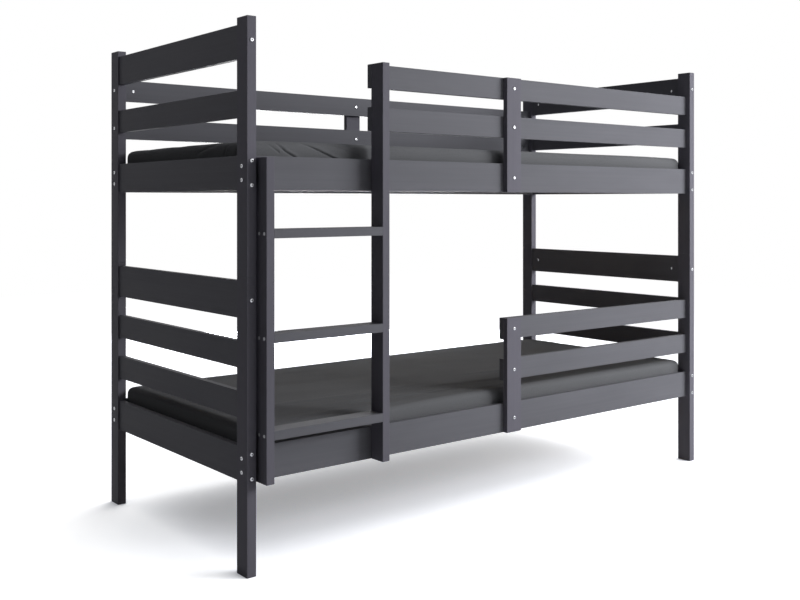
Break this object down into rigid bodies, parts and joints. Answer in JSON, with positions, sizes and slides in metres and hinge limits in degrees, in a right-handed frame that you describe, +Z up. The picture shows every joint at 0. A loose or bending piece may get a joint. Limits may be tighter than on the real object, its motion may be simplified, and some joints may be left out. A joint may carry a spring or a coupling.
{
  "type": "bunk bed",
  "caption": "Painted wooden bunk bed with a fixed front ladder, guards on both bunks, slatted bases and mattresses in fitted sheets; the two beds can be unstacked.",
  "frame": {"origin": "on the floor, in the middle of the whole object's bounding box", "axes": "+X along the beds, away from the ladder; +Y to the back, away from the ladder; +Z up"},
  "size_m": [1.9852, 0.9362, 1.5],
  "materials": {
    "painted_pine": "satin graphite-grey paint on planed pine, edges rounded",
    "bare_pine": "planed and unpainted",
    "beech_dowel": "fluted, unpainted",
    "zinc_steel": "bright zinc-plated",
    "pin_steel": "turned bar, plain",
    "webbing": "woven polyester tape",
    "mattress_cover": "woven ticking over foam",
    "sheet_cotton": "soft cotton jersey, dark grey"
  },
  "bodies": {
    "frame": {"barrel_nuts": "zinc_steel", "bed_slat_tapes": "webbing", "end_board_bolts": "zinc_steel", "end_board_dowels": "beech_dowel", "guard_sleeve_nuts": "zinc_steel", "guard_support_bolts": "zinc_steel", "ladder_bolts": "zinc_steel", "ladder_rung_bottom": "painted_pine", "ladder_rung_middle": "painted_pine", "ladder_rung_top": "painted_pine", "ladder_stile_left": "painted_pine", "ladder_stile_right": "painted_pine", "lower_bed_slats": "bare_pine", "lower_end_rail_left": "painted_pine", "lower_end_rail_right": "painted_pine", "lower_guard_high": "painted_pine", "lower_guard_low": "painted_pine", "lower_guard_support": "painted_pine", "lower_ledger_back": "painted_pine", "lower_ledger_front": "painted_pine", "lower_low_slat_left": "painted_pine", "lower_low_slat_right": "painted_pine", "lower_middle_slat_left": "painted_pine", "lower_middle_slat_right": "painted_pine", "lower_post_back_left": "painted_pine", "lower_post_back_right": "painted_pine", "lower_post_front_left": "painted_pine", "lower_post_front_right": "painted_pine", "lower_side_rail_back": "painted_pine", "lower_side_rail_front": "painted_pine", "lower_top_slat_left": "painted_pine", "lower_top_slat_right": "painted_pine", "post_pins": "pin_steel", "rung_screws": "zinc_steel", "side_board_bolts": "zinc_steel", "upper_bed_slats": "bare_pine", "upper_end_rail_left": "painted_pine", "upper_end_rail_right": "painted_pine", "upper_guard_back_high": "painted_pine", "upper_guard_back_low": "painted_pine", "upper_guard_front_high": "painted_pine", "upper_guard_front_low": "painted_pine", "upper_guard_support_back": "painted_pine", "upper_guard_support_front": "painted_pine", "upper_ledger_back": "painted_pine", "upper_ledger_front": "painted_pine", "upper_middle_slat_left": "painted_pine", "upper_middle_slat_right": "painted_pine", "upper_post_back_left": "painted_pine", "upper_post_back_right": "painted_pine", "upper_post_front_left": "painted_pine", "upper_post_front_right": "painted_pine", "upper_side_rail_back": "painted_pine", "upper_side_rail_front": "painted_pine", "upper_top_slat_left": "painted_pine", "upper_top_slat_right": "painted_pine"},
    "upper_mattress": {"upper_mattress": "mattress_cover", "upper_fitted_sheet": "sheet_cotton"},
    "lower_mattress": {"lower_mattress": "mattress_cover", "lower_fitted_sheet": "sheet_cotton"}
  },
  "joints": [
    {"name": "upper_mattress_lift", "type": "slide", "parent": "frame", "child": "upper_mattress", "axis": [0, 0, 1], "range_m": [0, 0.38]},
    {"name": "lower_mattress_lift", "type": "slide", "parent": "frame", "child": "lower_mattress", "axis": [0, 0, 1], "range_m": [0, 0.36]}
  ]
}
